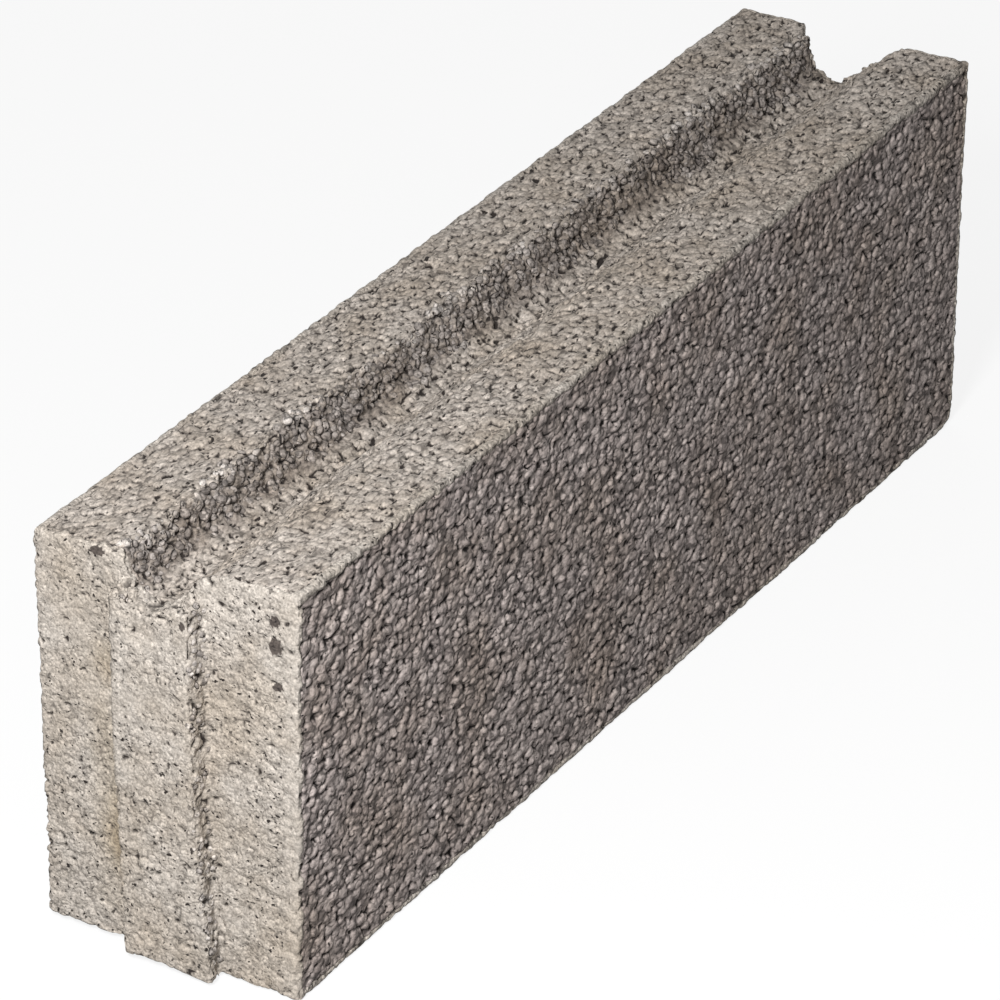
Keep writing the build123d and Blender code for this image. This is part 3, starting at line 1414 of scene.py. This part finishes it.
@dataclass(frozen=True)
class StrewnField:
    """Granules that stand out of one zone: how large, how close, how far out, and their finish."""

    name: str
    zone: Zone
    spacing_mm: float
    radius_mm: Pair
    rise: Pair
    sink_mm: Pair
    finish: ConcreteFinish
    seed: int
    tilt: float = 0.3
    lump_size_mm: float = 1.8
    lump_height_mm: float = 1.2

    def build(
        self, skin: bpy.types.Mesh, granule: bpy.types.Object, strewing: StrewnGranules
    ) -> bpy.types.Object:
        """Strews the zone and joins its granules.

        Args:
            skin: The sheet or skin that carries the granules.
            granule: The shape that is repeated.
            strewing: The tree that lays them.

        Returns:
            One plain mesh object with all the granules.
        """
        values = {
            "Granule": granule,
            "Zone": self.zone.value,
            "Spacing": self.spacing_mm * MM,
            "Least Radius": self.radius_mm[0] * MM,
            "Most Radius": self.radius_mm[1] * MM,
            "Least Rise": self.rise[0],
            "Most Rise": self.rise[1],
            "Least Sink": self.sink_mm[0] * MM,
            "Most Sink": self.sink_mm[1] * MM,
            "Tilt": self.tilt,
            "Lump Size": self.lump_size_mm * MM,
            "Lump Height": self.lump_height_mm * MM,
            "Seed": self.seed,
            "Finish": self.finish.material(),
        }
        mesh = strewing.run(skin, values)
        mesh.name = self.name
        return show(self.name, mesh)


TOP_FIELDS = (
    StrewnField("groove_granules", Zone.LIP, 2.5, (0.9, 2.4), (0.7, 1.1), (0.3, 1.4), RAW_FINISH, 25),
    StrewnField("slope_granules", Zone.SLOPE, 4.4, (1.0, 2.0), (0.5, 0.8), (0.5, 1.1), TOP_FINISH, 26),
)
SKIN_FIELDS = (
    StrewnField("flank_granules", Zone.FLANK, 2.6, (0.9, 1.8), (0.7, 1.1), (0.3, 1.2), RAW_FINISH, 27),
    StrewnField("mouth_granules", Zone.MOUTH, 3.0, (0.9, 1.9), (0.6, 1.0), (0.5, 1.3), END_FINISH, 28),
)


@dataclass(frozen=True)
class Studio:
    """The plain pale floor, the soft lamps and the camera of the photograph."""

    camera_place: Triple = (-2.0837, -1.1897, 1.3904)
    camera_turn_deg: Triple = (28.67, 0.53, -59.88)
    lens_mm: float = 223.3
    sensor_mm: float = 36.0
    sight: float = 60.0
    floor_half: float = 8.0
    floor_colour: str = "#f4f4f4"
    floor_bounce: str = "#8c8c8c"
    floor_white: float = 0.85
    key_place: Triple = (-1.15, -0.34, 0.92)
    key_aim: Triple = (-0.2, 0.0, 0.12)
    key_size: float = 0.3
    key_watts: float = 23.5
    fill_place: Triple = (1.9, 1.6, 1.4)
    fill_aim: Triple = (0.0, 0.0, 0.1)
    fill_size: float = 1.6
    fill_watts: float = 5.0
    sky: float = 0.34

    def place_camera(self) -> None:
        """Puts the camera where the photograph was taken."""
        data = bpy.data.cameras.new("photo_camera")
        data.lens = self.lens_mm
        data.sensor_width = self.sensor_mm
        data.clip_end = self.sight
        camera = bpy.data.objects.new("photo_camera", data)
        elevation, roll, azimuth = (math.radians(angle) for angle in self.camera_turn_deg)
        camera.matrix_world = (
            Matrix.Translation(self.camera_place)
            @ Matrix.Rotation(azimuth, 4, "Z")
            @ Matrix.Rotation(math.pi / 2 - elevation, 4, "X")
            @ Matrix.Rotation(roll, 4, "Z")
        )
        bpy.context.scene.collection.objects.link(camera)
        bpy.context.scene.camera = camera

    def lay_floor(self) -> None:
        """Lays the matt floor, white to the camera where nothing shades it."""
        half = self.floor_half
        mesh = bpy.data.meshes.new("floor")
        corners = [(-half, -half, 0.0), (half, -half, 0.0), (half, half, 0.0), (-half, half, 0.0)]
        mesh.from_pydata(corners, [], [(0, 1, 2, 3)])
        made = bpy.data.materials.new("matt_studio_floor")
        made.use_nodes = True
        made.node_tree.nodes.clear()
        add = partial(add_node, made.node_tree)
        watched = add("ShaderNodeLightPath").outputs["Is Camera Ray"]
        colours = {0: watched, 6: linear(self.floor_bounce), 7: linear(self.floor_colour)}
        shade = add("ShaderNodeMix", colours, data_type="RGBA")
        matt = add("ShaderNodeBsdfDiffuse", {"Color": shade.outputs[2]}).outputs[0]
        white = add("ShaderNodeEmission", {"Color": (1.0, 1.0, 1.0, 1.0)}).outputs[0]
        share = add("ShaderNodeMath", {0: watched, 1: self.floor_white}, operation="MULTIPLY")
        seen = add("ShaderNodeMixShader", {0: share.outputs[0], 1: matt, 2: white})
        add("ShaderNodeOutputMaterial", {"Surface": seen.outputs[0]})
        mesh.materials.append(made)
        show("floor", mesh)

    def light(self) -> None:
        """Sets the sky, the key lamp near the tongue end and a weak fill behind."""
        world = bpy.data.worlds.new("studio")
        world.use_nodes = True
        world.node_tree.nodes.clear()
        add = partial(add_node, world.node_tree)
        watched = add("ShaderNodeLightPath").outputs["Is Camera Ray"]
        strength = add("ShaderNodeMapRange", {"Value": watched, 3: self.sky, 4: 1.0}).outputs[0]
        sky = add("ShaderNodeBackground", {"Color": (1.0, 1.0, 1.0, 1.0), "Strength": strength})
        add("ShaderNodeOutputWorld", {"Surface": sky.outputs[0]})
        bpy.context.scene.world = world
        self._hang("key", self.key_place, self.key_aim, self.key_size, self.key_watts)
        self._hang("fill", self.fill_place, self.fill_aim, self.fill_size, self.fill_watts)

    def _hang(self, name: str, place: Triple, aim: Triple, size: float, watts: float) -> None:
        """Hangs one soft lamp that points at aim.

        Args:
            name: The lamp's name.
            place: Where it hangs, in metres.
            aim: The point that it lights, in metres.
            size: How wide its disc is, in metres.
            watts: Its power.
        """
        data = bpy.data.lights.new(name, "AREA")
        data.shape = "DISK"
        data.size = size
        data.energy = watts
        lamp = bpy.data.objects.new(name, data)
        lamp.location = place
        lamp.rotation_euler = (Vector(aim) - Vector(place)).to_track_quat("-Z", "Y").to_euler()
        bpy.context.scene.collection.objects.link(lamp)


def main() -> None:
    """Builds the studio and the block, ties its pieces to the part and logs each piece's triangles."""
    logging.basicConfig(level=logging.INFO, format="%(name)s: %(message)s")
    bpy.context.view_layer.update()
    bpy.context.scene.view_settings.view_transform = "Standard"
    studio = Studio()
    studio.place_camera()
    studio.lay_floor()
    studio.light()
    solid = Solid()
    front = FaceRelief(solid, Side.FRONT, 0.77, 0.0)
    back = FaceRelief(solid, Side.BACK, 1.3, 500.0)
    top = FaceRelief(solid, Side.TOP, 0.93, 1000.0)
    casting = BlockSkin(solid, END_FINISH, {face.side: face for face in (front, back, top)})
    skin = casting.build()
    sheets = [
        FaceSheet(solid, relief, finish, casting.spots, name, part).build()
        for name, relief, finish, part in (
            ("front_face_near", front, MOULD_FINISH, (0.0, 0.5)),
            ("front_face_far", front, MOULD_FINISH, (0.5, 1.0)),
            ("back_face", back, MOULD_FINISH, (0.0, 1.0)),
            ("top_face", top, TOP_FINISH, (0.0, 1.0)),
        )
    ]
    granule = Pebble().build()
    strewing = StrewnGranules()
    strewn = [field.build(sheets[-1].data, granule, strewing) for field in TOP_FIELDS]
    strewn += [field.build(skin.data, granule, strewing) for field in SKIN_FIELDS]
    bpy.data.objects.remove(granule)
    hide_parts(NODE)
    for piece in [skin, *sheets, *strewn]:
        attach(piece, BODY)
        piece.data.calc_loop_triangles()
        LOG.info("%s: %d triangles", piece.name, len(piece.data.loop_triangles))


if __name__ == "__main__":
    main()
